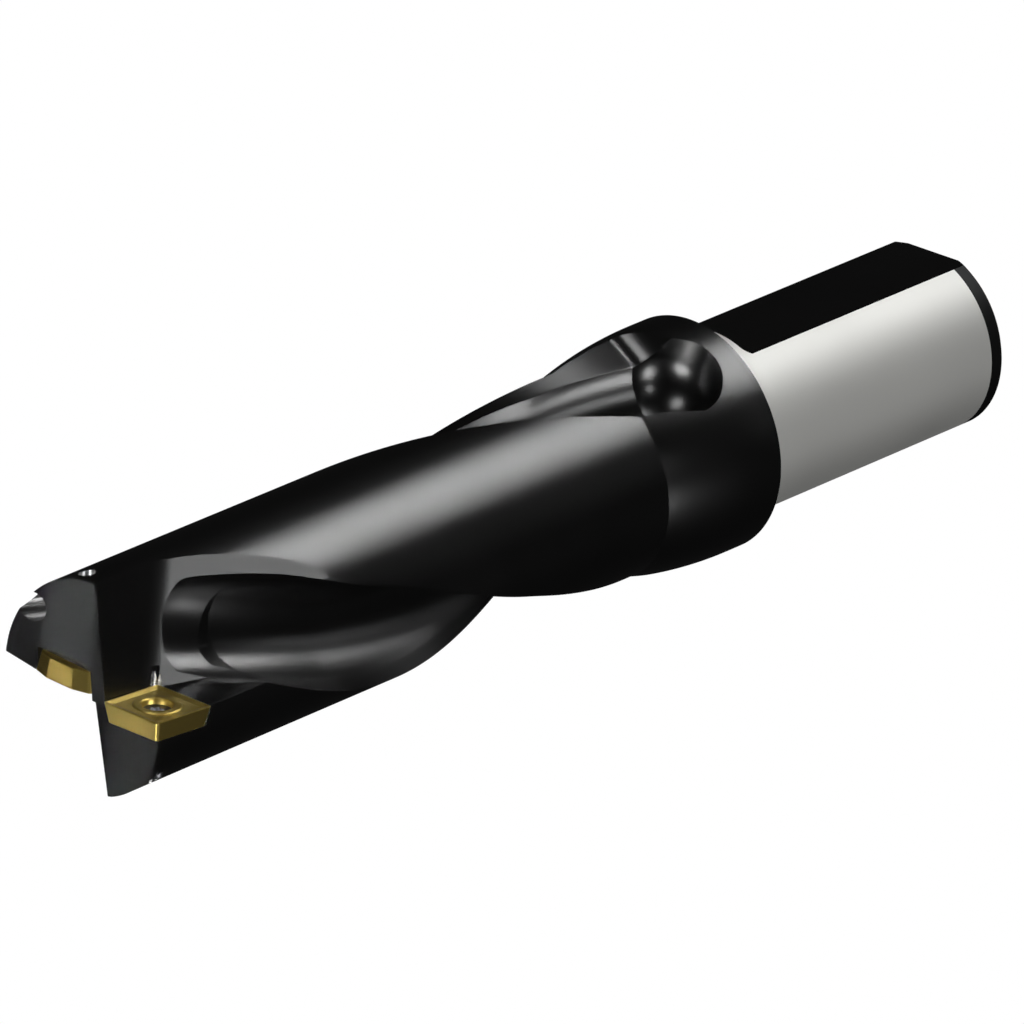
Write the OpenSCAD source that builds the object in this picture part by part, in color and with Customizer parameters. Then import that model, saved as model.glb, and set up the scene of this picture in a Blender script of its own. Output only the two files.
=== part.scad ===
// Short hole drill with two screwed-on square inserts.
// The drill stands on its shank end: origin at the centre of the shank end, +Z to the cutting tip.
// The clamping flat faces -Y, the peripheral insert lies towards -X and the central one towards +X.

/* [Shank] */
// Diameter of the ground shank
shank_d = 32; // [25:1:36]
// Length of the shank, from its end to the collar
shank_len = 57; // [50:1:80]
// Distance from the clamping flat to the opposite side of the shank
flat_size = 30; // [22:0.5:31]
// Distance from the shank end to the end of the clamping flat
flat_len = 51.8; // [40:0.5:52]
// Radius of the two corners at the end of the clamping flat
flat_corner_r = 2.5; // [1:0.5:5]
// Width of the 45 degree chamfer at the shank end
shank_chamfer = 0.9; // [0.3:0.1:2]
// Diameter of the coolant inlet in the shank end
inlet_d = 10; // [6:0.5:14]
// Depth of the coolant inlet
inlet_depth = 44; // [30:1:46]

/* [Collar] */
// Diameter of the collar at its rim
collar_d = 39.7; // [38:0.1:46]
// Length of the straight part of the collar
collar_straight = 3.5; // [1:0.5:8]
// Length over which the collar sweeps down to the body
collar_sweep = 20; // [16:0.5:22]

/* [Body] */
// Diameter of the fluted body
body_d = 34.9; // [34:0.1:35.4]
// Distance from the collar rim to the front face of the body
body_len = 136.4; // [132:0.2:150]
// Length in which a flute goes once round the body
flute_lead = 270; // [240:5:330]
// Radius of the round bottom of a flute
flute_r = 8; // [7.4:0.1:8.4]
// Distance from the drill axis to the centre of the round bottom
flute_offset = 11.3; // [11:0.1:12.4]
// Distance from the front face to where a flute starts
flute_start = 20.5; // [19:0.5:26]
// Distance from the collar rim to the ball end of a flute
flute_end = 12.5; // [11.5:0.1:14]
// Distance from the drill axis to the centre of the ball end
flute_end_offset = 14.8; // [13.8:0.1:15.6]
// Distance from the drill axis to the bevel along the trailing edge of a flute
bevel_x = 12.8; // [12.4:0.1:13.6]
// Diameter of the coolant channel in the land
channel_d = 3.6; // [3:0.1:4]
// Distance from the drill axis to the coolant channel
channel_offset = 10.6; // [10.2:0.1:11.2]
// Diameter of the coolant exit in the front face
exit_d = 4.8; // [4:0.1:5.2]
// Distance from the drill axis to the coolant exit
exit_offset = 16.2; // [15.4:0.1:16.4]

/* [Inserts] */
// Side of the peripheral insert
insert_size = 12; // [11:0.1:12.4]
// Side of the central insert
central_size = 12.6; // [12:0.1:13]
// Thickness of the inserts
insert_t = 3.4; // [3:0.1:4]
// Relief angle of the insert sides
insert_relief = 11; // [7:1:12]
// Corner radius of the inserts
insert_corner_r = 0.6; // [0.4:0.1:1.2]
// Width of the land between the cutting edge and the chip recess
insert_land_w = 0.6; // [0.4:0.1:1]
// Depth of the chip recess
insert_recess = 0.25; // [0.1:0.05:0.4]
// Diameter of the hole in an insert, where the screw goes in
insert_hole_d = 5.1; // [4.9:0.1:5.4]
// Diameter of the hole in an insert, round the thread of the screw
insert_neck_d = 4; // [3.9:0.1:4.2]
// Radius of the relief hole in the inner corner of a pocket
pocket_relief_r = 1.1; // [0.8:0.1:1.4]
// Axial rake of the peripheral insert
peripheral_rake = 5; // [0:0.5:6]
// Radius at which the peripheral insert cuts
cut_r = 18; // [17.8:0.1:18.4]
// How far the inner corner of the central insert reaches past the drill axis
central_reach = 2.1; // [1.4:0.1:2.6]

/* [Screws] */
// Diameter of the screw thread
screw_d = 3.5; // [3:0.1:3.8]
// Length of a screw under its head
screw_len = 9; // [7:0.5:10]
// Depth of the screw head under the face of the insert
screw_sink = 1.0; // [0.6:0.1:1.2]
// Diameter of the tapped hole behind the thread
tap_d = 2.9; // [2.4:0.1:3]
// Depth of the socket in a screw head
socket_depth = 1.1; // [0.8:0.1:1.3]

/* [Hidden] */
$fn = 64;
black = [0.06, 0.06, 0.065];
gold = [0.72, 0.6, 0.26];
steel = [0.5, 0.5, 0.52];
far = 30;
shank_r = shank_d / 2;
flat_y = flat_size - shank_r;
flat_half = sqrt(shank_r * shank_r - flat_y * flat_y);
body_r = body_d / 2;
collar_r = collar_d / 2;
front_z = shank_len + body_len;
twist = 360 / flute_lead;
// Angle of the middle of the central flute at the front face
flute_front_angle = 48;
// The last stretch of a flute runs straighter than its screw line
straight_from = 45;
straight_turn = 0.3;
// Heights of the round ends of a flute, and where its bottom joins the screw line
ball_z = shank_len + flute_end;
runout_len = 17.5;
runout_z = ball_z + runout_len;
mouth_z = front_z - flute_start;
deep_z = mouth_z - 6.8;
mouth_rise = 1.5;
ring_step = 2.7;
arc_steps = 12;
bevel_slope = 0.13;
bevel_dip = 0.157;
bevel_dip_from = 38.4;
bevel_dip_len = 15;
// Chip pockets: walls along the axis, and ramps that run out into the flutes
peripheral_wall = 5.4;
peripheral_wall_turn = 11.8;
peripheral_floor = 1.1;
peripheral_ramp = -2.3;
central_wall = -central_reach;
central_wall_turn = 8;
central_floor = 0;
central_ramp = -6.6;
ramp_turn = 20.3;
ramp_tilt = 20.9;
blend_r = 3;
floor_turn = 13.5;
floor_bend = 11.3;
// Coolant channel
exit_run = 16;
channel_swing = 34;
// Insert seats
inset = insert_t * tan(insert_relief);
edge_ahead = 0.7;
peripheral_turn = 1.4;
peripheral_x = -(cut_r - insert_size / 2 - 0.2);
peripheral_y = 0.44;
peripheral_z = front_z + edge_ahead - insert_size / 2 + 0.2;
central_tilt = 2;
central_gap = 0.4;
peripheral_past = 8;
central_turn = 1;
central_x = central_size / 2 - central_reach;
central_z = front_z + edge_ahead - central_size / 2;
central_nick = 0.75;
recess_slope_w = 0.8;
boss_r = 3.7;
head_angle = 60;
neck_depth = screw_sink + (insert_hole_d - insert_neck_d) / 2 / tan(head_angle / 2);
head_cone = (insert_hole_d - screw_d) / 2 / tan(head_angle / 2);

function flute_angle(z) =
    flute_front_angle - twist * (front_z - z) + straight_turn * max(0, straight_from - (front_z - z));
function bevel_at(z) =
    bevel_x - bevel_dip * min(bevel_dip_len, max(0, bevel_dip_from - (front_z - z)));
function polar(r, a, z) = [r * cos(a), r * sin(a), z];
function unit(v) = v / norm(v);

// Outline of a flute across the drill, about the centre of its round bottom, with +X outwards:
// leading wall, bottom of half width w and depth d, and the bevel that starts at the distance b.
// The bottom is round at e = 1 and squarer below it.
function flute_outline(w, d, b, lean, e) =
    let (
        turn = 90 + (b < 0 ? asin(min(0.9, -b / d)) : 0),
        foot = [max(b, d * cos(turn)) + 0.05, w * sin(turn) + 0.35])
    concat(
        [[far, -w - lean], [2, -w]],
        [for (i = [0:arc_steps]) let (a = 270 - (270 - turn) * i / arc_steps)
            [d * powered(cos(a), e), w * powered(sin(a), e)]],
        [foot, foot + 15 * [bevel_slope, 1], [far, foot[1] + 15]]);

function powered(x, e) = sign(x) * pow(abs(x), e);

// One cross-section: [centre, half width, depth, direction, where the bevel starts, lean, exponent]
function section(offset, z, w, d, a, b, lean, e = 1) = [polar(offset, a, z), w, d, a, b - offset, lean, e];

// Cross-sections of a flute: ball end, screw line, and a mouth that rises to a round end in the chip pocket
function flute_sections() =
    let (
        r = flute_r,
        turns = ceil((deep_z - runout_z) / ring_step),
        rear = flute_angle(ball_z),
        front = flute_angle(mouth_z))
    concat(
        [for (a = [6, 24, 42, 58, 74]) let (w = r * sin(a))
            section(flute_end_offset, ball_z - r * cos(a), w, w, rear, bevel_x + r - w, 0)],
        [for (t = [0:0.2:0.8]) let (z = ball_z + t * (runout_z - ball_z))
            section(flute_end_offset + t * (flute_offset - flute_end_offset), z, r, r, flute_angle(z), bevel_x, t)],
        [for (i = [0:turns]) let (z = runout_z + (deep_z - runout_z) * i / turns)
            section(flute_offset, z, r, r, flute_angle(z), bevel_at(z), 1)],
        [for (t = [0.35, 0.7, 1]) let (z = deep_z + t * (mouth_z - deep_z))
            section(flute_offset + t * mouth_rise, z, r, r, flute_angle(z), bevel_at(z), 1, 1 - 0.4 * t)],
        [for (a = [18, 36, 54, 70, 84]) let (w = r * cos(a))
            section(flute_offset + mouth_rise, mouth_z + r * sin(a), w, r * pow(cos(a), 0.35), front,
                bevel_at(mouth_z) + r - w, 1, 0.6)]);

module flute() {
    sections = flute_sections();
    n = len(flute_outline(1, 1, 1, 1, 1));
    last = len(sections) - 1;
    points = [for (s = sections, p = flute_outline(s[1], s[2], s[4], s[5], s[6]))
        s[0] + [p[0] * cos(s[3]) - p[1] * sin(s[3]), p[0] * sin(s[3]) + p[1] * cos(s[3]), 0]];
    sides = [for (i = [0:last - 1], j = [0:n - 1])
        [i * n + j, i * n + (j + 1) % n, (i + 1) * n + (j + 1) % n, (i + 1) * n + j]];
    caps = [[for (j = [n - 1:-1:0]) j], [for (j = [0:n - 1]) last * n + j]];
    polyhedron(points, concat(sides, caps), convexity = 10);
}

// Everything on the far side of a plane through p, square to n
module beyond(p, n) {
    z_axis = unit(n);
    x_axis = unit(cross([0, 1, 0], z_axis));
    y_axis = cross(z_axis, x_axis);
    multmatrix([
        [x_axis[0], y_axis[0], z_axis[0], p[0]],
        [x_axis[1], y_axis[1], z_axis[1], p[1]],
        [x_axis[2], y_axis[2], z_axis[2], p[2]]])
        translate([-4 * far, -4 * far, 0]) cube([8 * far, 8 * far, 8 * far]);
}

// Chip pocket towards -X and -Y: a wall, a floor whose outer part may be turned, a ramp that runs out
// at the side, and a blend between wall and ramp
module chip_pocket(wall, wall_turn, floor_y, floor_turn, ramp) {
    foot = [-wall - floor_y * tan(wall_turn), floor_y];
    wall_n = [-cos(wall_turn), -sin(wall_turn), 0];
    ramp_n = [-cos(ramp_turn) * cos(ramp_tilt), -sin(ramp_turn) * cos(ramp_tilt), sin(ramp_tilt)];
    ramp_z = front_z - insert_size - ramp;
    blend_x = -blend_r / cos(wall_turn);
    blend = [blend_x - wall, 0, ramp_z + (blend_r - ramp_n[0] * blend_x) / ramp_n[2]];
    intersection() {
        translate([0, 0, shank_len + body_len / 2])
            linear_extrude(height = body_len)
                polygon([foot, foot + 2 * far * [sin(wall_turn), -cos(wall_turn)], [-2 * far, -2 * far],
                    [-far, floor_y + (far - floor_bend) * tan(floor_turn)], [-floor_bend, floor_y]]);
        beyond([-wall, 0, ramp_z], ramp_n);
        inside_blend(blend, wall_n, ramp_n);
    }
}

// Everything on the open side of a rounded inner corner, given its axis and the normals of its two walls
module inside_blend(p, n1, n2) {
    intersection_for(t = [0.25, 0.5, 0.75]) {
        n = unit(n1 * (1 - t) + n2 * t);
        beyond(p - blend_r * n, n);
    }
}

// The seat of an insert in its own frame: rake face at z = 0, tip towards +Y, inner side towards +X
module seat(side) {
    if (side == "peripheral")
        translate([peripheral_x, peripheral_y, peripheral_z])
            rotate([90, 0, 0]) rotate([peripheral_rake, 0, 0]) rotate([0, -1, peripheral_turn]) children();
    else
        rotate([0, 0, -central_tilt])
            translate([central_x, 0, central_z]) rotate([90, 0, 180]) rotate([0, 0, central_turn]) children();
}

// Corners of an insert's face, drawn in from its edge by d; nick breaks two of its sides in three
function insert_corners(size, nick, d) =
    let (c = size / 2 - d)
    nick == 0
        ? [[c, c], [-c, c], [-c, -c], [c, -c]]
        : [[c, c - nick], [c / 2, c], [-c / 2, c], [-c, c - nick],
           [-c, -c + nick], [-c / 2, -c], [c / 2, -c], [c, -c + nick]];

// The face is sunk inside its edge, down a gentle slope, and stands up again round the screw
module chip_recess(size, nick) {
    inner = size / 2 - insert_land_w - recess_slope_w;
    rise = 2;
    difference() {
        translate([0, 0, -insert_recess])
            linear_extrude(height = rise * insert_recess, scale = 1 + rise * recess_slope_w / inner)
                polygon(insert_corners(2 * inner, nick, 0));
        translate([0, 0, -1]) cylinder(r = boss_r, h = 2);
    }
}

// Square insert with relieved sides, a sunk face and a countersunk hole
module insert_blank(size, nick) {
    difference() {
        rotate([180, 0, 0])
            linear_extrude(height = insert_t, scale = 1 - 2 * inset / size)
                offset(r = insert_corner_r) polygon(insert_corners(size, nick, insert_corner_r));
        chip_recess(size, nick);
        translate([0, 0, -insert_t - 1]) cylinder(d = insert_neck_d, h = insert_t + 2);
        translate([0, 0, -neck_depth])
            cylinder(d1 = insert_neck_d, d2 = insert_hole_d, h = neck_depth - screw_sink);
        translate([0, 0, -screw_sink]) cylinder(d = insert_hole_d, h = screw_sink + 1);
    }
}

// Pocket that holds an insert on its base and its two inner sides, and runs past its outer side
module insert_pocket(size, past) {
    i = size / 2 - inset;
    s = size / 2 + 3 * tan(insert_relief);
    out = size / 2 + past;
    ahead = size / 2 + 8;
    polyhedron(
        [[i, ahead, -insert_t], [-out, ahead, -insert_t], [-out, -i, -insert_t], [i, -i, -insert_t],
         [s, ahead, 3], [-out, ahead, 3], [-out, -s, 3], [s, -s, 3]],
        [[0, 1, 2, 3], [7, 6, 5, 4], [0, 4, 5, 1], [1, 5, 6, 2], [2, 6, 7, 3], [3, 7, 4, 0]]);
    translate([i, -i, -insert_t]) cylinder(r = pocket_relief_r, h = insert_t + 5.5);
    translate([0, 0, -insert_t - screw_len]) cylinder(d = screw_d, h = screw_len + 1);
    translate([0, 0, -insert_t - far]) cylinder(d = tap_d, h = far);
}

// The shank is drawn with its flat towards +X and then turned to face -Y
module shank() {
    corner_x = flat_half + 0.5 - flat_corner_r;
    rotate([0, 0, -90])
        difference() {
            union() {
                cylinder(r1 = shank_r - shank_chamfer, r2 = shank_r, h = shank_chamfer);
                translate([0, 0, shank_chamfer]) cylinder(r = shank_r, h = shank_len - shank_chamfer + 1);
            }
            rotate([90, 0, 90])
                translate([0, 0, flat_y])
                    linear_extrude(height = far) {
                        translate([-far, -1]) square([2 * far, flat_len - flat_corner_r + 1]);
                        translate([-corner_x, 0]) square([2 * corner_x, flat_len]);
                        for (s = [-1, 1])
                            translate([s * corner_x, flat_len - flat_corner_r]) circle(r = flat_corner_r);
                    }
        }
}

// Collar and plain body, turned from one bar
module turned_body() {
    drop = collar_r - body_r;
    sweep_r = (collar_sweep * collar_sweep + drop * drop) / 2 / drop;
    steps = 12;
    translate([0, 0, shank_len])
        rotate_extrude()
            polygon(concat(
                [[0, 0], [collar_r - 0.15, 0], [collar_r, 0.15]],
                [for (i = [0:steps]) let (h = collar_sweep * i / steps)
                    [collar_r - sweep_r + sqrt(sweep_r * sweep_r - h * h), collar_straight + h]],
                [[body_r, body_len + 1], [0, body_len + 1]]));
}

// Clearance faces ground on the front of the two lands
module front_faces() {
    // Land behind the central insert: three facets that meet in shallow valleys
    intersection() {
        beyond([-0.5, -3.5, front_z - 0.9], [0.044, -0.105, 0.993]);
        beyond([9.75, -3.5, front_z - 1.43], [-0.109, -0.087, 0.99]);
        beyond([-0.5, -3.5, front_z - 0.9], [0.109, -0.111, 0.988]);
        translate([-6, -far, 0]) cube([2 * far, far + peripheral_floor, 2 * front_z]);
    }
    // Land behind the peripheral insert: one clearance face with a bevel beside the central pocket
    translate([-far, 0, 0])
        intersection() {
            beyond([0, 0, front_z], [0, 0.02, 1]);
            cube([far + 4, far, 2 * front_z]);
        }
    intersection() {
        beyond([-5.9, 4, front_z], [0.24, 0.02, 0.97]);
        translate([-7, peripheral_floor, 0]) cube([far, far, 2 * front_z]);
    }
}

// Coolant channel: inlet, a screw line in the land behind the central insert, and an exit
module coolant_channel() {
    z0 = inlet_depth - 2;
    z1 = front_z - exit_run;
    rings = 46;
    sides = 8;
    exit_angle = flute_front_angle - 87;
    function reach(z) = let (t = min(1, (z - z0) / channel_swing)) channel_offset * t * t * (3 - 2 * t);
    function centre(i) = let (z = z0 + (z1 - z0) * i / rings)
        polar(reach(z), exit_angle - twist * (front_z - z), z);
    points = [for (i = [0:rings], j = [0:sides - 1]) let (a = 360 * j / sides, c = centre(i))
        c + channel_d / 2 * [cos(a), sin(a), 0]];
    walls = [for (i = [0:rings - 1], j = [0:sides - 1])
        [i * sides + j, (i + 1) * sides + j, (i + 1) * sides + (j + 1) % sides, i * sides + (j + 1) % sides]];
    caps = [[for (j = [0:sides - 1]) j], [for (j = [sides - 1:-1:0]) rings * sides + j]];
    polyhedron(points, concat(walls, caps), convexity = 10);
    translate([0, 0, -1]) cylinder(d = inlet_d, h = inlet_depth + 1);
    from = centre(rings);
    run = polar(exit_offset, exit_angle, front_z - 1) - from;
    translate(from) rotate([0, acos(run[2] / norm(run)), atan2(run[1], run[0])])
        translate([0, 0, -1.5]) cylinder(d = exit_d, h = norm(run) + 8);
}

module drill_body() {
    color(black)
        difference() {
            union() {
                shank();
                turned_body();
            }
            flute();
            rotate([0, 0, 180]) flute();
            chip_pocket(peripheral_wall, peripheral_wall_turn, peripheral_floor, 0, peripheral_ramp);
            rotate([0, 0, 180])
                chip_pocket(central_wall, central_wall_turn, central_floor, floor_turn, central_ramp);
            front_faces();
            seat("peripheral") insert_pocket(insert_size, peripheral_past);
            seat("central") insert_pocket(central_size, central_gap);
            coolant_channel();
        }
}

module peripheral_insert() {
    color(gold) seat("peripheral") insert_blank(insert_size, 0);
}

module central_insert() {
    color(gold) seat("central") insert_blank(central_size, central_nick);
}

// Countersunk screw with a six-lobed socket, in the frame of its insert
module insert_screw() {
    difference() {
        union() {
            translate([0, 0, -screw_sink - head_cone]) cylinder(d1 = screw_d, d2 = insert_hole_d, h = head_cone);
            translate([0, 0, -insert_t - screw_len + 0.5]) cylinder(d = screw_d, h = screw_len + insert_t - screw_sink - 0.6);
        }
        translate([0, 0, -screw_sink - socket_depth])
            linear_extrude(height = socket_depth + 1) {
                circle(r = 0.95);
                for (a = [0:60:300])
                    rotate(a) translate([0.95, 0]) circle(r = 0.32);
            }
    }
}

module peripheral_insert_screw() {
    color(steel) seat("peripheral") insert_screw();
}

module central_insert_screw() {
    color(steel) seat("central") insert_screw();
}

drill_body();
peripheral_insert();
central_insert();
peripheral_insert_screw();
central_insert_screw();
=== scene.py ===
"""Short hole drill with two screwed-on square inserts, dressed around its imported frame."""

import itertools
import math

import bmesh
import bpy
import numpy as np
from mathutils import Matrix, Vector


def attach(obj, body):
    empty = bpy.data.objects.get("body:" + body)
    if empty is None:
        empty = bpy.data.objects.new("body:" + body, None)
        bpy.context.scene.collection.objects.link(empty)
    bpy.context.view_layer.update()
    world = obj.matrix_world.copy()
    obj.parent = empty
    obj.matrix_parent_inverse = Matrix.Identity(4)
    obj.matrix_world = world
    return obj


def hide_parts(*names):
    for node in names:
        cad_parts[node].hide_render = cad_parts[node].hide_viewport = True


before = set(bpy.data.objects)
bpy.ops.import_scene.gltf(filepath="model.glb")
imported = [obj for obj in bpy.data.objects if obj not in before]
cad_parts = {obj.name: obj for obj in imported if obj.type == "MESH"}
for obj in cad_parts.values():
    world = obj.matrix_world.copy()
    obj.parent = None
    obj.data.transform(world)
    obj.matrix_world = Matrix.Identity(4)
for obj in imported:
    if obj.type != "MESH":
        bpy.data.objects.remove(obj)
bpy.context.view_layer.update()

# Metres in a millimetre. The drill's sizes are in millimetres and its angles in degrees
MM = 0.001
# Cutters reach this far past what they cut, or less where that is enough
FAR = 30.0
NEAR = 20.0
OVERLAP = 1.0

# Shank and collar
SHANK_R = 16.0
SHANK_LEN = 57.0
SHANK_CHAMFER = 0.9
BLACK_END = 3.3
FLAT_Y = 14.0
FLAT_LEN = 51.8
FLAT_CORNER_R = 2.5
FLAT_CORNER_STEPS = 24
FLAT_PAST = 0.5
INLET_R = 5.0
INLET_DEPTH = 44.0
COLLAR_R = 19.85
COLLAR_STRAIGHT = 3.5
COLLAR_SWEEP = 20.0
COLLAR_RINGS = 25
RIM_CHAMFER = 0.15
# A face belongs to the shank's wall within this distance, and this height of its normal
WALL_TOLERANCE = 0.02
WALL_NORMAL_Z = 0.1

# Fluted body
BODY_R = 17.45
BODY_STEPS = 384
BODY_RING_STEP = 2.0
FRONT_Z = 193.4
FLUTE_LEAD = 270.0
TWIST = 360 / FLUTE_LEAD
FLUTE_FRONT_ANGLE = 48
FLUTE_R = 8.0
FLUTE_OFFSET = 11.3
BALL_Z = SHANK_LEN + 12.5
BALL_OFFSET = 14.8
BALL_STEP = 3
# The bevel climbs by this times what the ball end loses in radius
BALL_BEVEL_CLIMB = 3
RUNOUT_Z = BALL_Z + 17.5
DEEP_END_Z = 160.5
DEEP_END_SLANT = 2.5
DEEP_END_RISE = 1.6
# The end wall starts to lean at this distance across the flute
SLANT_FROM = -6.0
SLANT_EASE = 3.0
STEP_END_Z = 172.3
STEP_START_Z = 154.0
STEP_RISE = 1.5
END_WALL_STEP = 4
# Over this length before the front the flutes turn more, by this many degrees for each millimetre
EXTRA_TURN_LEN = 45
EXTRA_TURN = 0.3
BEVEL_X = 12.8
BEVEL_RISE = 0.4
BEVEL_SLOPE = 0.13
BEVEL_W = 15.0
# Where the flute hasn't widened, its bevel starts this far outside the wall
BEVEL_STEP = 0.35
# Least distances between the points at the bevel's foot
FOOT_GAP = 0.05
WALL_GAP = 0.01
# The flutes widen on their bevelled side, by this share over this length
WIDEN_SHARE = 0.32
WIDEN_LEN = 35.0
# The leading wall leans out from this height over the flute's centre
LEAN_FROM = 2.0
MOUTH_LEAN = 0.2
ROUND_STEPS = 48
# Index of the first point of the round bottom in a flute's cross-section
BOTTOM_FROM = 3
RING_STEP = 0.9

# Chip pockets
BLEND_R = 12.0
BLEND_STEPS = 20
RAMP_TURN = 20.3
RAMP_TILT = 20.9
RAMP_FROM = 12.0
FLOOR_BEND = 11.3
POCKETS = {
    "peripheral": {"wall": 5.4, "wall_turn": 11.8, "floor_y": 1.1, "floor_turn": 0.0, "ramp": -2.3},
    "central": {"wall": -2.1, "wall_turn": 8.0, "floor_y": 0.0, "floor_turn": 13.5, "ramp": -6.6},
}

# Clearance faces on the front: the corners of each cutter's box across the axis, and its faces,
# each as a point measured from the middle of the front and a normal
RIDGE = (-0.5, -3.5, -0.9)
FRONT_CUTS = {
    "central_clearance": {
        "low": (-6, -FAR),
        "high": (2 * FAR, 1.1),
        "faces": [
            (RIDGE, (0.044, -0.105, 0.993)),
            ((9.75, -3.5, -1.43), (-0.109, -0.087, 0.99)),
            (RIDGE, (0.109, -0.111, 0.988)),
        ],
    },
    "clearance": {"low": (-FAR, 0), "high": (4, FAR), "faces": [((0, 0, 0), (0, 0.02, 1))]},
    "edge_bevel": {"low": (-7, 1.1), "high": (FAR, FAR), "faces": [((-5.9, 4, 0), (0.24, 0.02, 0.97))]},
}

# Inserts
INSERT_T = 3.4
RELIEF = math.tan(math.radians(11))
PERIPHERAL_SIZE = 12.0
CENTRAL_SIZE = 12.6
CENTRAL_NICK = 0.75
CORNER_R = 0.6
HOLE_R = 2.55
NECK_R = 2.0
EDGE_AHEAD = 0.7
HONE = 0.05
LAND_W = 0.35
GROOVE_W = 0.8
GROOVE_DEPTH = 0.25
# Height of the soft steps at the borders of the groove
SOFT = 0.03
BASE_BREAK = 0.15
BOSS_R = 3.7
EDGE_STEPS = 8

# The peripheral insert lies at the cutting radius, shifted this far towards the axis and ahead
CUTTING_R = 18.0
PERIPHERAL_SHIFT = 0.2
PERIPHERAL_Y = 0.44
PERIPHERAL_TIP = 5
PERIPHERAL_LEAN = -1
PERIPHERAL_SPIN = 1.4
# The central insert reaches this far past the axis
CENTRAL_PAST = 2.1
CENTRAL_TURN = -2
CENTRAL_SPIN = 1
POCKET_TOP = 3.0
POCKET_AHEAD = 8.0
RELIEF_HOLE_R = 1.1
RELIEF_HOLE_TOP = 2.1

# Screws and their holes
SCREW_SINK = 1.0
SCREW_R = 1.75
SCREW_LEN = 9.0
SCREW_SHORT = 0.5
SCREW_STEPS = 144
SCREW_TIP_CHAMFER = 0.3
TAP_R = 1.45
SINK_SLOPE = math.tan(math.radians(30))
HEAD_CONE = (HOLE_R - SCREW_R) / SINK_SLOPE
# Gap round the head's rim, the rim's height and the broken edge above it
HEAD_GAP = 0.08
HEAD_RIM = 0.08
HEAD_BREAK = 0.06
# The closing faces of a screw are tiny discs of this radius
TINY_R = 0.4
SOCKET_DEPTH = 1.1
SOCKET_R = 1.07
SOCKET_LOBE = 0.17
SOCKET_LOBES = 6
SOCKET_MOUTH = 0.1
SOCKET_MOUTH_DEPTH = 0.08
SOCKET_CONE = 0.15

# Coolant channel
CHANNEL_R = 1.8
CHANNEL_OFFSET = 10.6
CHANNEL_SWING = 34.0
CHANNEL_RINGS = 70
CHANNEL_STEPS = 24
EXIT_R = 2.4
EXIT_OFFSET = 16.2
EXIT_RUN = 16.0
EXIT_ANGLE = FLUTE_FRONT_ANGLE - 87
EXIT_Z = FRONT_Z - 1
EXIT_BACK = 1.5
EXIT_PAST = 8.0
CHANNEL_LOW = INLET_DEPTH - 2
CHANNEL_HIGH = FRONT_Z - EXIT_RUN

# Points around the holes
INLET_STEPS = 96
EXIT_STEPS = 72
SCREW_HOLE_STEPS = 64
RELIEF_HOLE_STEPS = 48

# Edges are sharp above these angles: on the body, where two cuts meet, and on the small pieces
BODY_SHARP = 12
SEAM_SHARP = 4
SMALL_SHARP = 24

# Camera of the photograph: angles in degrees, lens and sensor in millimetres, the rest in metres
CAMERA_AZIMUTH = -148.652
CAMERA_ELEVATION = 40.064
CAMERA_ROLL = -112.898
CAMERA_DISTANCE = 2.1035
CAMERA_LENS = 463.313
CAMERA_SENSOR = 36
CAMERA_CLIP = 500
CAMERA_AIM = Vector((-0.00144, -0.00031, 0.1))

# Studio, in metres. The first is half the floor's width and the backdrop's radius
STAGE_SIZE = 60.0
FLOOR_Z = -0.0005
BACKDROP_DETAIL = 4
WORLD_STRENGTH = 0.01
LIGHT_AIM = Vector((0, 0, 0.1))
LIGHT_DISTANCE = 3.0
# Each light is two discs of these shares of its width, so that its edge is soft
LIGHT_SHARES = (1.0, 0.6)
# Name, azimuth and elevation as seen from the drill, half angle in degrees, and radiance
LIGHTS = [
    ("low_key", -103, -40, 22, 3.2),
    ("low_back", 157, 1, 15, 4.2),
    ("high_back", 106, 59, 17, 5.4),
    ("high_front", -100, 38, 14, 3.0),
    ("side", -168, 1, 9, 2.6),
    ("low_front", -80, -15, 11, 1.9),
    ("front", 40, 27, 14, 0.7),
    ("crown", 13, 46, 10, 0.9),
    ("under", -165, -57, 12, 0.35),
    ("low_edge", -120, -57, 11, 1.4),
]

# Finishes
WHITE = (1, 1, 1, 1)
DARK = (0.0008, 0.0008, 0.0008)
GLOSS_VARY = 0.03
GLOSS_SCALE = 60
GLOSS_DETAIL = 2
# Order of the materials on the body
BLACK, SILVER, BRIGHT, DULL = 0, 1, 2, 3
# Every cutter leaves a number of its own on the faces that it cuts, and a flute leaves two
SURFACES = itertools.count(1)


def direction(azimuth, elevation):
    """Unit vector of a direction given in degrees."""
    a, e = math.radians(azimuth), math.radians(elevation)
    return Vector((math.cos(e) * math.cos(a), math.cos(e) * math.sin(a), math.sin(e)))


def polar(r, angle, z):
    """Point at a radius, an angle in degrees and a height."""
    a = math.radians(angle)
    return np.array([r * math.cos(a), r * math.sin(a), z])


def make_camera():
    """Long lens that looks at the drill as the photograph does, with its roll."""
    back = direction(CAMERA_AZIMUTH, CAMERA_ELEVATION)
    level = (-back).cross(Vector((0, 0, 1))).normalized()
    upright = back.cross(level)
    roll = math.radians(CAMERA_ROLL)
    right = math.cos(roll) * level + math.sin(roll) * upright
    up = back.cross(right)
    data = bpy.data.cameras.new("camera")
    data.lens = CAMERA_LENS
    data.sensor_width = CAMERA_SENSOR
    data.clip_end = CAMERA_CLIP
    camera = bpy.data.objects.new("camera", data)
    camera.matrix_world = Matrix((right, up, back)).transposed().to_4x4()
    camera.location = CAMERA_AIM + CAMERA_DISTANCE * back
    bpy.context.scene.collection.objects.link(camera)
    bpy.context.scene.camera = camera


def node_material(name):
    """New material with its nodes and links."""
    material = bpy.data.materials.new(name)
    material.use_nodes = True
    return material, material.node_tree.nodes, material.node_tree.links


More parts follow.
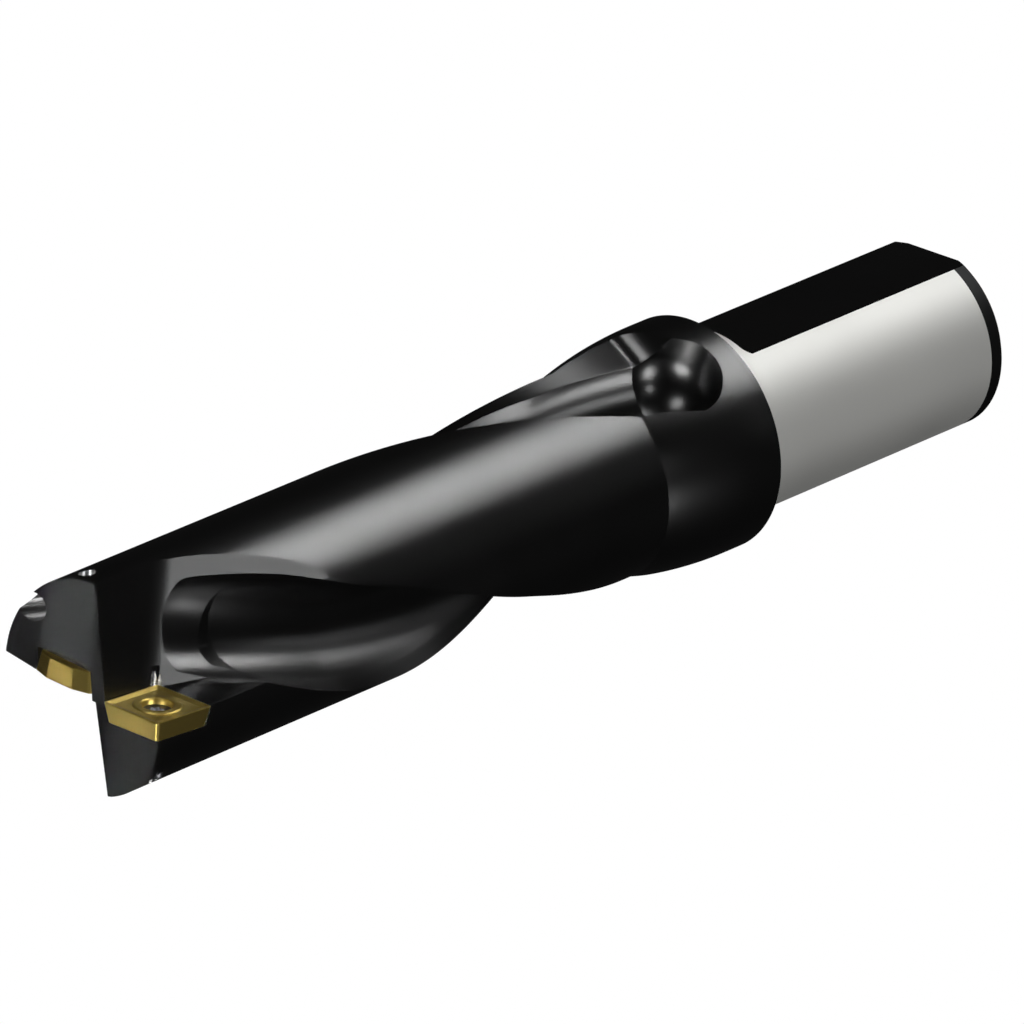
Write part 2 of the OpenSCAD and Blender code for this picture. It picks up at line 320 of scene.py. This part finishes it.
def noise(nodes, links, scale, stretch=(1, 1, 1), detail=3):
    """Noise in the object's own frame, stretched along the axes."""
    place = nodes.new("ShaderNodeTexCoord")
    mapping = nodes.new("ShaderNodeMapping")
    mapping.inputs["Scale"].default_value = stretch
    texture = nodes.new("ShaderNodeTexNoise")
    texture.inputs["Scale"].default_value = scale
    texture.inputs["Detail"].default_value = detail
    links.new(place.outputs["Object"], mapping.inputs["Vector"])
    links.new(mapping.outputs["Vector"], texture.inputs["Vector"])
    return texture.outputs["Fac"]


def spread(nodes, links, value, low, high):
    """Maps noise, which runs from 0 to 1, to a range."""
    node = nodes.new("ShaderNodeMapRange")
    node.inputs["To Min"].default_value = low
    node.inputs["To Max"].default_value = high
    links.new(value, node.inputs["Value"])
    return node.outputs["Result"]


def bump(nodes, links, height, distance):
    """Normal of a surface that rises with the height by up to the distance."""
    node = nodes.new("ShaderNodeBump")
    node.inputs["Strength"].default_value = 1.0
    node.inputs["Distance"].default_value = distance
    links.new(height, node.inputs["Height"])
    return node.outputs["Normal"]


def finish_material(name, color, metallic, roughness, ior=1.5, grain=900, stretch=(1, 1, 1), depth=2e-6):
    """Metal or dark finish whose gloss wavers a little, with a fine grain in its surface."""
    material, nodes, links = node_material(name)
    shader = nodes["Principled BSDF"]
    shader.inputs["Base Color"].default_value = (*color, 1)
    shader.inputs["Metallic"].default_value = metallic
    shader.inputs["IOR"].default_value = ior
    fine = noise(nodes, links, grain, stretch)
    wide = noise(nodes, links, GLOSS_SCALE, detail=GLOSS_DETAIL)
    gloss = spread(nodes, links, wide, roughness - GLOSS_VARY, roughness + GLOSS_VARY)
    links.new(gloss, shader.inputs["Roughness"])
    links.new(bump(nodes, links, fine, depth), shader.inputs["Normal"])
    return material


BODY_MATERIALS = [
    finish_material("black_finish", DARK, 0.0, 0.25, ior=2.0),
    finish_material("ground_silver", (0.9, 0.9, 0.87), 1.0, 0.62, grain=300, stretch=(1, 1, 14)),
    finish_material("bright_bore", (0.3, 0.3, 0.3), 1.0, 0.25),
    finish_material("dull_black", DARK, 0.0, 0.5, ior=1.35),
]
GOLD = finish_material("gold_coating", (0.85, 0.64, 0.17), 1.0, 0.32, grain=2500, depth=1e-6)
SCREW_STEEL = finish_material("dark_screw", (0.16, 0.16, 0.17), 1.0, 0.3)


def mesh_object(name, points, faces, material=BLACK):
    """Mesh from points in millimetres, its faces turned outwards and marked as one cut."""
    mesh = bpy.data.meshes.new(name)
    mesh.from_pydata([tuple(float(c) * MM for c in p) for p in points], [], faces)
    bm = bmesh.new()
    bm.from_mesh(mesh)
    bmesh.ops.recalc_face_normals(bm, faces=bm.faces)
    bm.to_mesh(mesh)
    bm.free()
    for body_material in BODY_MATERIALS:
        mesh.materials.append(body_material)
    mesh.polygons.foreach_set("material_index", [material] * len(mesh.polygons))
    surface = mesh.attributes.new("surface", "INT", "FACE")
    surface.data.foreach_set("value", [next(SURFACES)] * len(mesh.polygons))
    obj = bpy.data.objects.new(name, mesh)
    bpy.context.scene.collection.objects.link(obj)
    return obj


def tube(name, rings, material=BLACK):
    """Closed mesh through rings of points, with a cap at each end."""
    n = len(rings[0])
    last = (len(rings) - 1) * n
    faces = []
    for start in range(0, last, n):
        for j in range(n):
            k = (j + 1) % n
            faces.append((start + j, start + k, start + n + k, start + n + j))
    faces.append(tuple(reversed(range(n))))
    faces.append(tuple(range(last, last + n)))
    return mesh_object(name, [p for ring in rings for p in ring], faces, material)


def open_tube(name, rings):
    """Closed mesh whose last ring joins its first."""
    n = len(rings[0])
    faces = []
    for i in range(len(rings)):
        start, after = i * n, (i + 1) % len(rings) * n
        faces += [(start + j, start + (j + 1) % n, after + (j + 1) % n, after + j) for j in range(n)]
    return mesh_object(name, [p for ring in rings for p in ring], faces)


def flute_tube(name, rings):
    """Closed mesh of a flute, whose round bottom is another cut than its walls."""
    obj = tube(name, rings)
    bottom = next(SURFACES)
    values = obj.data.attributes["surface"].data
    n = len(rings[0])
    for start in range(0, (len(rings) - 1) * n, n):
        for j in range(BOTTOM_FROM, BOTTOM_FROM + ROUND_STEPS):
            values[start + j].value = bottom
    return obj


def circle(r, z, steps, centre=(0.0, 0.0)):
    """Ring of points around a centre, at one height."""
    return [
        (centre[0] + r * math.cos(a), centre[1] + r * math.sin(a), z)
        for a in np.linspace(0, 2 * math.pi, steps, endpoint=False)
    ]


def cylinder(name, r, low, high, steps, matrix=None, centre=(0.0, 0.0), material=BLACK):
    """Cylinder along Z between two heights, moved by a matrix in millimetres."""
    obj = tube(name, [circle(r, low, steps, centre), circle(r, high, steps, centre)], material)
    if matrix is not None:
        obj.data.transform(in_metres(matrix))
    return obj


def prism(name, outline, low, high):
    """Outline drawn across Z, between two heights."""
    return tube(name, [[(x, y, z) for x, y in outline] for z in (low, high)])


def slab(name, low, high):
    """Box between two corners."""
    outline = [(low[0], low[1]), (high[0], low[1]), (high[0], high[1]), (low[0], high[1])]
    return prism(name, outline, low[2], high[2])


def in_metres(matrix):
    """The same matrix for points in metres."""
    scaled = matrix.copy()
    scaled.translation = matrix.translation * MM
    return scaled


def half_spaces(obj, planes):
    """Keeps what lies on the side that each plane's normal points to; a plane is a point and a normal."""
    bm = bmesh.new()
    bm.from_mesh(obj.data)
    for point, normal in planes:
        bmesh.ops.bisect_plane(
            bm,
            geom=bm.verts[:] + bm.edges[:] + bm.faces[:],
            plane_co=Vector(point) * MM,
            plane_no=Vector(normal),
            clear_inner=True,
        )
        open_edges = [e for e in bm.edges if e.is_boundary]
        bmesh.ops.holes_fill(bm, edges=open_edges, sides=0)
    bmesh.ops.recalc_face_normals(bm, faces=bm.faces)
    bm.to_mesh(obj.data)
    bm.free()
    return obj


def turned(obj, degrees):
    """Turns a mesh about the drill's axis."""
    obj.data.transform(Matrix.Rotation(math.radians(degrees), 4, "Z"))
    return obj


def bake(obj):
    """Applies the modifiers."""
    evaluated = obj.evaluated_get(bpy.context.evaluated_depsgraph_get())
    mesh = bpy.data.meshes.new_from_object(evaluated)
    obj.modifiers.clear()
    obj.data = mesh


def cut(obj, tool):
    """Cuts the tool out of the object and removes it."""
    modifier = obj.modifiers.new("cut", "BOOLEAN")
    modifier.operation = "DIFFERENCE"
    modifier.solver = "MANIFOLD"
    modifier.object = tool
    bake(obj)
    bpy.data.objects.remove(tool)


def steps_between(low, high, step):
    """Evenly spaced values from low to high, no further apart than the step."""
    return np.linspace(low, high, int(math.ceil((high - low) / step)) + 1)


def flute_angle(z):
    """Angle of the first flute at a height."""
    ahead = FRONT_Z - z
    return FLUTE_FRONT_ANGLE - TWIST * ahead + EXTRA_TURN * max(0, EXTRA_TURN_LEN - ahead)


def widened(z):
    """How far a flute has widened, from 0 to 1."""
    return min(1, max(0, (z - RUNOUT_Z) / WIDEN_LEN))


def bevel_at(z):
    """Distance of the bevel's foot from the axis."""
    return BEVEL_X + BEVEL_RISE * widened(z)


def flute_ring(offset, z, angle, w, r, bevel, lean, share=WIDEN_SHARE):
    """Cross-section of a flute of half width w: leading wall, round bottom of radius r, and bevel."""
    b = bevel - offset
    reach = w if b >= 0 else min(w, math.sqrt(r * r - b * b))
    wide = 1 + share * widened(z)
    floor = -math.sqrt(r * r - w * w)
    outline = [(FAR, -w - lean), (LEAN_FROM, -w), (floor + DEEP_END_RISE, -w)]
    for a in np.linspace(-math.pi / 2, math.asin(reach / w), ROUND_STEPS + 1):
        y = w * math.sin(a)
        outline.append((-math.sqrt(max(0, r * r - y * y)), y * wide if y > 0 else y))
    end = outline[-1][0]
    foot_x = max(b, end) + FOOT_GAP
    foot_y = reach * wide + BEVEL_STEP * (1 - widened(z)) + FOOT_GAP
    outline += [
        (min(end + DEEP_END_RISE, foot_x - WALL_GAP), reach * wide),
        (foot_x, foot_y),
        (foot_x + BEVEL_W * BEVEL_SLOPE, foot_y + BEVEL_W),
        (FAR, foot_y + BEVEL_W),
    ]
    centre = polar(offset, angle, z)
    c, s = math.cos(math.radians(angle)), math.sin(math.radians(angle))
    return [centre + np.array([x * c - y * s, x * s + y * c, 0]) for x, y in outline]


def straight_rings(offset, low, high):
    """Rings of the stretch where a flute keeps its depth."""
    for z in steps_between(low, high, RING_STEP):
        yield flute_ring(offset, z, flute_angle(z), FLUTE_R, FLUTE_R, bevel_at(z), MOUTH_LEAN)


def ball_end():
    """Rings of the ball end towards the shank."""
    angle = flute_angle(BALL_Z)
    for a in np.radians(np.arange(BALL_STEP, 90, BALL_STEP)):
        r = FLUTE_R * math.sin(a)
        z = BALL_Z - FLUTE_R * math.cos(a)
        yield flute_ring(BALL_OFFSET, z, angle, r, r, BEVEL_X + BALL_BEVEL_CLIMB * (FLUTE_R - r), 0)


def round_end(offset, end_z, slant):
    """Rings of a wall that is round as seen from outside, and leans towards the tip above the bottom."""
    for a in np.radians(np.arange(END_WALL_STEP, 90, END_WALL_STEP)):
        w = FLUTE_R * math.cos(a)
        z = end_z + FLUTE_R * math.sin(a)
        angle = flute_angle(z)
        outwards, sideways = polar(1, angle, 0), polar(1, angle + 90, 0)
        # A leaning wall stays widened to its end, and an upright one narrows as it rounds off
        share = WIDEN_SHARE if slant else WIDEN_SHARE * math.cos(a)
        bevel = bevel_at(end_z) + FLUTE_R - w
        ring = flute_ring(offset, z, angle, w, FLUTE_R, bevel, MOUTH_LEAN, share)
        for i, p in enumerate(ring):
            across = p @ sideways
            if across > 0:
                across /= 1 + WIDEN_SHARE
            height = p @ outwards - offset + math.sqrt(max(0, FLUTE_R**2 - across**2))
            ease = min(1, max(0, (across - SLANT_FROM) / SLANT_EASE))
            ring[i] = p + np.array([0, 0, slant * ease * min(DEEP_END_RISE, max(0, height))])
        yield ring


def deep_flute():
    """A flute from its ball end over the run-out to the end of its full depth."""
    rings = list(ball_end())
    for z in steps_between(BALL_Z, RUNOUT_Z, RING_STEP)[:-1]:
        t = (z - BALL_Z) / (RUNOUT_Z - BALL_Z)
        offset = BALL_OFFSET + t * (FLUTE_OFFSET - BALL_OFFSET)
        rings.append(flute_ring(offset, z, flute_angle(z), FLUTE_R, FLUTE_R, BEVEL_X, t * MOUTH_LEAN))
    rings += straight_rings(FLUTE_OFFSET, RUNOUT_Z, DEEP_END_Z)
    rings += round_end(FLUTE_OFFSET, DEEP_END_Z, DEEP_END_SLANT)
    return flute_tube("deep_flute", rings)


def flute_step():
    """The shallower end of a flute, which runs on into the chip pocket."""
    offset = FLUTE_OFFSET + STEP_RISE
    rings = list(straight_rings(offset, STEP_START_Z, STEP_END_Z))
    rings += round_end(offset, STEP_END_Z, 0)
    return flute_tube("flute_step", rings)


def chip_pocket(wall, wall_turn, floor_y, floor_turn, ramp):
    """Pocket towards -X and -Y: wall, floor, a ramp that runs out at the side, and the blend between them."""
    turn = math.radians(wall_turn)
    foot = (-wall - floor_y * math.tan(turn), floor_y)
    outline = [
        foot,
        (foot[0] + 2 * FAR * math.sin(turn), foot[1] - 2 * FAR * math.cos(turn)),
        (-2 * FAR, -2 * FAR),
        (-FAR, floor_y + (FAR - FLOOR_BEND) * math.tan(math.radians(floor_turn))),
        (-FLOOR_BEND, floor_y),
    ]
    block = prism("chip_pocket", outline, FRONT_Z - 2 * FAR, FRONT_Z + NEAR)
    wall_n = -direction(wall_turn, 0)
    ramp_n = -direction(RAMP_TURN, -RAMP_TILT)
    ramp_z = FRONT_Z - RAMP_FROM - ramp
    blend_x = -BLEND_R / math.cos(turn)
    centre = Vector((blend_x - wall, 0, ramp_z + (BLEND_R - ramp_n[0] * blend_x) / ramp_n[2]))
    planes = [((-wall, 0, ramp_z), ramp_n)]
    for t in np.linspace(0, 1, BLEND_STEPS + 2)[1:-1]:
        n = wall_n.slerp(ramp_n, t).normalized()
        planes.append((centre - BLEND_R * n, n))
    return half_spaces(block, planes)


def front_faces():
    """Clearance faces ground on the front of the two lands."""
    for name, shape in FRONT_CUTS.items():
        block = slab(name, (*shape["low"], FRONT_Z - NEAR), (*shape["high"], FRONT_Z + FAR))
        yield half_spaces(block, [((x, y, FRONT_Z + z), normal) for (x, y, z), normal in shape["faces"]])


def rotation(x=0, y=0, z=0):
    """Turns about X, then Y, then Z, in degrees."""
    turns = [Matrix.Rotation(math.radians(a), 4, axis) for a, axis in ((z, "Z"), (y, "Y"), (x, "X"))]
    return turns[0] @ turns[1] @ turns[2]


def peripheral_seat():
    """Place of the outer insert, with its rake face towards -Y and a cutting edge at the front."""
    half = PERIPHERAL_SIZE / 2
    x = -(CUTTING_R - half - PERIPHERAL_SHIFT)
    z = FRONT_Z + EDGE_AHEAD - half + PERIPHERAL_SHIFT
    upright = Matrix.Translation((x, PERIPHERAL_Y, z)) @ rotation(x=90)
    return upright @ rotation(x=PERIPHERAL_TIP) @ rotation(y=PERIPHERAL_LEAN, z=PERIPHERAL_SPIN)


def central_seat():
    """Place of the inner insert, with its rake face towards +Y."""
    half = CENTRAL_SIZE / 2
    place = Matrix.Translation((half - CENTRAL_PAST, 0, FRONT_Z + EDGE_AHEAD - half))
    return rotation(z=CENTRAL_TURN) @ place @ rotation(x=90, z=180) @ rotation(z=CENTRAL_SPIN)


# Each insert: its seat, its side, how far its pocket runs past it, and the break in two of its sides
INSERTS = {
    "peripheral": {"seat": peripheral_seat(), "size": PERIPHERAL_SIZE, "past": 8.0, "nick": 0.0},
    "central": {"seat": central_seat(), "size": CENTRAL_SIZE, "past": 0.4, "nick": CENTRAL_NICK},
}


def insert_pocket(seat, size, past):
    """Cutters of an insert's seat: pocket, relief hole, screw hole and tapped hole."""
    out = size / 2 + past
    ahead = size / 2 + POCKET_AHEAD
    rings = []
    for z in (-INSERT_T, POCKET_TOP):
        wall = size / 2 + z * RELIEF
        rings.append([(wall, ahead, z), (-out, ahead, z), (-out, -wall, z), (wall, -wall, z)])
    pocket = tube("insert_pocket", rings)
    pocket.data.transform(in_metres(seat))
    yield pocket
    foot = size / 2 - INSERT_T * RELIEF
    # Radius, low end, high end, steps and centre of each hole
    holes = {
        "relief_hole": (RELIEF_HOLE_R, -INSERT_T, RELIEF_HOLE_TOP, RELIEF_HOLE_STEPS, (foot, -foot)),
        "screw_hole": (SCREW_R, -INSERT_T - SCREW_LEN, 0, SCREW_HOLE_STEPS, (0.0, 0.0)),
        "tapped_hole": (TAP_R, -INSERT_T - FAR, -INSERT_T, SCREW_HOLE_STEPS, (0.0, 0.0)),
    }
    for name, (r, low, high, steps, centre) in holes.items():
        yield cylinder(name, r, low, high, steps, seat, centre, BRIGHT)


def insert_outline(size, nick, inward, corner_r):
    """Points of an insert's outline drawn inwards; nick breaks two of its sides in three."""
    c = size / 2 - inward - corner_r
    corners = [(c, c), (-c, c), (-c, -c), (c, -c)]
    if nick:
        corners = [(c, c - nick), (c / 2, c), (-c / 2, c), (-c, c - nick)]
        corners += [(-x, -y) for x, y in corners]
    corners = [np.array(corner) for corner in corners]
    ring = []
    for i, here in enumerate(corners):
        after = corners[(i + 1) % len(corners)]
        into, out_of = here - corners[i - 1], after - here
        start = math.atan2(-into[0], into[1])
        turn = (math.atan2(-out_of[0], out_of[1]) - start) % (2 * math.pi)
        for t in np.linspace(0, 1, EDGE_STEPS + 1):
            a = start + t * turn
            ring.append(here + corner_r * np.array([math.cos(a), math.sin(a)]))
        for t in np.linspace(0, 1, EDGE_STEPS + 2)[1:-1]:
            ring.append(ring[i * (2 * EDGE_STEPS + 1) + EDGE_STEPS] + t * out_of)
    return ring


def insert(side):
    """Square insert: relieved sides, honed edge, chip groove, boss and countersunk hole."""
    form = INSERTS[side]
    base = INSERT_T - BASE_BREAK
    # Height, distance inwards and corner radius, from the base over the honed edge into the groove
    edge = [
        (-INSERT_T, INSERT_T * RELIEF + BASE_BREAK, 0.45),
        (-base, base * RELIEF, 0.5),
        (-2 * HONE, 2 * HONE * RELIEF, CORNER_R),
        (-HONE, 2 * HONE * RELIEF + 0.015, CORNER_R),
        (-0.012, 0.045, CORNER_R - 0.03),
        (0, 0.09, CORNER_R - 0.08),
        (0, LAND_W, 0.35),
        (-SOFT, LAND_W + 2 * SOFT, 0.3),
        (-GROOVE_DEPTH + SOFT, LAND_W + GROOVE_W - 2 * SOFT, 0.25),
        (-GROOVE_DEPTH, LAND_W + GROOVE_W, 0.22),
    ]
    rings = []
    for z, inward, r in edge:
        rings.append([(x, y, z) for x, y in insert_outline(form["size"], form["nick"], inward, r)])
    angles = [math.atan2(y, x) for x, y, z in rings[0]]
    # Radius and height, from the groove over the boss and its rounded mouth down the hole
    hole = [
        (BOSS_R + 0.32, -GROOVE_DEPTH),
        (BOSS_R + 0.24, -GROOVE_DEPTH + SOFT),
        (BOSS_R + 0.06, -SOFT),
        (BOSS_R - 0.02, 0),
        (HOLE_R + 0.32, 0),
        (HOLE_R + 0.14, -0.05),
        (HOLE_R + 0.04, -0.15),
        (HOLE_R, -0.32),
        (HOLE_R, -SCREW_SINK),
        (NECK_R, -SCREW_SINK - (HOLE_R - NECK_R) / SINK_SLOPE),
        (NECK_R, -INSERT_T),
    ]
    rings += [[(r * math.cos(a), r * math.sin(a), z) for a in angles] for r, z in hole]
    name = f"{side}_insert"
    finished(open_tube(f"{name}_finish", rings), form["seat"], GOLD, name)


def screw(side):
    """Countersunk screw with a six-lobed socket."""
    top, under = -SCREW_SINK, -SCREW_SINK - HEAD_CONE
    end = -INSERT_T - SCREW_LEN + SCREW_SHORT
    # Radius, height and depth of the lobes, from the tip over the head into the socket
    profile = [
        (TINY_R, end, 0),
        (SCREW_R - SCREW_TIP_CHAMFER, end, 0),
        (SCREW_R, end + SCREW_TIP_CHAMFER, 0),
        (SCREW_R, under, 0),
        (HOLE_R - HEAD_GAP, top - HEAD_RIM - HEAD_BREAK, 0),
        (HOLE_R - HEAD_GAP, top - HEAD_BREAK, 0),
        (HOLE_R - HEAD_GAP - HEAD_BREAK, top, 0),
        (SOCKET_R + SOCKET_MOUTH, top, SOCKET_LOBE),
        (SOCKET_R, top - SOCKET_MOUTH_DEPTH, SOCKET_LOBE),
        (SOCKET_R, top - SOCKET_DEPTH, SOCKET_LOBE),
        (TINY_R, top - SOCKET_DEPTH - SOCKET_CONE, 0),
    ]
    angles = np.linspace(0, 2 * math.pi, SCREW_STEPS, endpoint=False)
    rings = []
    for r, z, lobe in profile:
        reach = r + lobe * np.cos(SOCKET_LOBES * angles)
        rings.append(list(zip(reach * np.cos(angles), reach * np.sin(angles), [z] * len(angles))))
    name = f"{side}_insert_screw"
    finished(tube(f"{name}_finish", rings), INSERTS[side]["seat"], SCREW_STEEL, name)


def finished(obj, seat, material, node):
    """Puts a piece in its seat in place of its construction node."""
    obj.data.transform(in_metres(seat))
    obj.data.materials.clear()
    obj.data.materials.append(material)
    smooth(obj, SMALL_SHARP)
    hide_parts(node)
    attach(obj, "root")


def channel_centre(z):
    """The channel swings out of the inlet into the land and then follows the flutes."""
    t = min(1, (z - CHANNEL_LOW) / CHANNEL_SWING)
    return polar(CHANNEL_OFFSET * t * t * (3 - 2 * t), EXIT_ANGLE - TWIST * (FRONT_Z - z), z)


def coolant_ways():
    """Channel in the land, inlet in the shank, and exit in the front face."""
    rings = []
    for z in np.linspace(CHANNEL_LOW, CHANNEL_HIGH, CHANNEL_RINGS):
        rings.append(circle(CHANNEL_R, z, CHANNEL_STEPS, channel_centre(z)[:2]))
    yield tube("coolant_channel", rings)
    yield cylinder("coolant_inlet", INLET_R, -OVERLAP, INLET_DEPTH, INLET_STEPS)
    start = channel_centre(CHANNEL_HIGH)
    run = Vector(polar(EXIT_OFFSET, EXIT_ANGLE, EXIT_Z) - start)
    aim = Matrix.Translation(start) @ run.to_track_quat("Z", "Y").to_matrix().to_4x4()
    high = run.length + EXIT_PAST
    yield cylinder("coolant_exit", EXIT_R, -EXIT_BACK, high, EXIT_STEPS, aim, material=BRIGHT)


def clamping_flat():
    """Cutter of the flat, with two rounded corners at its end."""
    half = math.sqrt(SHANK_R**2 - FLAT_Y**2) + FLAT_PAST
    shoulder = FLAT_LEN - FLAT_CORNER_R
    outline = [(-FAR, -OVERLAP), (FAR, -OVERLAP), (FAR, shoulder), (half, shoulder)]
    for a in np.radians(np.linspace(0, 90, FLAT_CORNER_STEPS))[1:]:
        x = half - FLAT_CORNER_R + FLAT_CORNER_R * math.cos(a)
        outline.append((x, shoulder + FLAT_CORNER_R * math.sin(a)))
    outline += [(-x, z) for x, z in reversed(outline[3:])]
    outline.append((-FAR, shoulder))
    return tube("clamping_flat", [[(x, y, z) for x, z in outline] for y in (-FAR, -FLAT_Y)])


def turned_blank():
    """Shank, collar and plain body, turned from one bar."""
    drop = COLLAR_R - BODY_R
    sweep_r = (COLLAR_SWEEP**2 + drop**2) / 2 / drop
    profile = [
        (SHANK_R - SHANK_CHAMFER, 0),
        (SHANK_R, SHANK_CHAMFER),
        (SHANK_R, BLACK_END),
        (SHANK_R, SHANK_LEN),
        (COLLAR_R - RIM_CHAMFER, SHANK_LEN),
        (COLLAR_R, SHANK_LEN + RIM_CHAMFER),
    ]
    for h in np.linspace(0, COLLAR_SWEEP, COLLAR_RINGS):
        profile.append((COLLAR_R - sweep_r + math.sqrt(sweep_r**2 - h * h), SHANK_LEN + COLLAR_STRAIGHT + h))
    body_z = SHANK_LEN + COLLAR_STRAIGHT + COLLAR_SWEEP
    profile += [(BODY_R, z) for z in steps_between(body_z, FRONT_Z + OVERLAP, BODY_RING_STEP)[1:]]
    return tube("drill_body_finish", [circle(r, z, BODY_STEPS) for r, z in profile])


def paint_shank(obj):
    """The shank is ground bright from its end band to the collar, and the band is dull black."""
    for face in obj.data.polygons:
        x, y, z = face.center / MM
        on_radius = abs(math.hypot(x, y) - SHANK_R) < WALL_TOLERANCE
        on_wall = on_radius and abs(face.normal.z) < WALL_NORMAL_Z
        if face.material_index == BLACK and on_wall and z < SHANK_LEN:
            face.material_index = SILVER if z > BLACK_END else DULL


def smooth(obj, sharp):
    """Smooth shading with sharp edges above the angle, or above the seam's angle where two cuts meet."""
    mesh = obj.data
    mesh.polygons.foreach_set("use_smooth", [True] * len(mesh.polygons))
    bm = bmesh.new()
    bm.from_mesh(mesh)
    surface = bm.faces.layers.int["surface"]
    for edge in bm.edges:
        if len(edge.link_faces) != 2:
            continue
        one, other = edge.link_faces
        limit = sharp if one[surface] == other[surface] else SEAM_SHARP
        edge.smooth = edge.calc_face_angle(0) < math.radians(limit)
    bm.to_mesh(mesh)
    bm.free()
    weighted = obj.modifiers.new("weighted", "WEIGHTED_NORMAL")
    weighted.keep_sharp = True
    bake(obj)


def drill_body():
    """The turned bar with everything that is milled, drilled and ground in it."""
    body = turned_blank()
    cut(body, clamping_flat())
    for degrees in (0, 180):
        cut(body, turned(deep_flute(), degrees))
        cut(body, turned(flute_step(), degrees))
    cut(body, chip_pocket(**POCKETS["peripheral"]))
    cut(body, turned(chip_pocket(**POCKETS["central"]), 180))
    for tool in front_faces():
        cut(body, tool)
    for form in INSERTS.values():
        for tool in insert_pocket(form["seat"], form["size"], form["past"]):
            cut(body, tool)
    for tool in coolant_ways():
        cut(body, tool)
    paint_shank(body)
    smooth(body, BODY_SHARP)
    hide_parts("drill_body")
    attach(body, "root")


def staged(name, mesh, material):
    """Puts a mesh behind the drill that neither lights nor shades it."""
    mesh.materials.append(material)
    obj = bpy.data.objects.new(name, mesh)
    bpy.context.scene.collection.objects.link(obj)
    obj.visible_glossy = False
    obj.visible_diffuse = False
    obj.visible_shadow = False


def studio():
    """White floor and backdrop, a dim world, and soft lights that shine through the floor too."""
    white, nodes, links = node_material("pale_floor")
    nodes.remove(nodes["Principled BSDF"])
    glow = nodes.new("ShaderNodeEmission")
    glow.inputs["Color"].default_value = WHITE
    links.new(glow.outputs["Emission"], nodes["Material Output"].inputs["Surface"])

    floor = bpy.data.meshes.new("floor")
    corners = [(x * STAGE_SIZE, y * STAGE_SIZE, FLOOR_Z) for x, y in ((-1, -1), (1, -1), (1, 1), (-1, 1))]
    floor.from_pydata(corners, [], [(0, 1, 2, 3)])
    staged("floor", floor, white)
    backdrop = bpy.data.meshes.new("backdrop")
    bm = bmesh.new()
    bmesh.ops.create_icosphere(bm, subdivisions=BACKDROP_DETAIL, radius=STAGE_SIZE)
    bm.to_mesh(backdrop)
    bm.free()
    staged("backdrop", backdrop, white)

    world = bpy.data.worlds.new("studio")
    bpy.context.scene.world = world
    world.use_nodes = True
    background = world.node_tree.nodes["Background"]
    background.inputs["Color"].default_value = WHITE
    background.inputs["Strength"].default_value = WORLD_STRENGTH
    for name, azimuth, elevation, half_angle, radiance in LIGHTS:
        for number, share in enumerate(LIGHT_SHARES):
            part = radiance / len(LIGHT_SHARES)
            soft_light(f"{name}_{number}", azimuth, elevation, half_angle * share, part)


def soft_light(name, azimuth, elevation, half_angle, radiance):
    """Round soft light that is seen from the drill under twice the half angle."""
    data = bpy.data.lights.new(name, "AREA")
    data.shape = "DISK"
    data.size = 2 * LIGHT_DISTANCE * math.tan(math.radians(half_angle))
    data.energy = radiance * math.pi**2 * (data.size / 2) ** 2
    data.use_shadow = False
    data.cycles.use_multiple_importance_sampling = False
    light = bpy.data.objects.new(name, data)
    toward = direction(azimuth, elevation)
    light.location = LIGHT_AIM + LIGHT_DISTANCE * toward
    light.rotation_euler = toward.to_track_quat("Z", "Y").to_euler()
    light.visible_camera = False
    bpy.context.scene.collection.objects.link(light)


make_camera()
studio()
bpy.context.scene.view_settings.view_transform = "Standard"
drill_body()
for side in INSERTS:
    insert(side)
    screw(side)
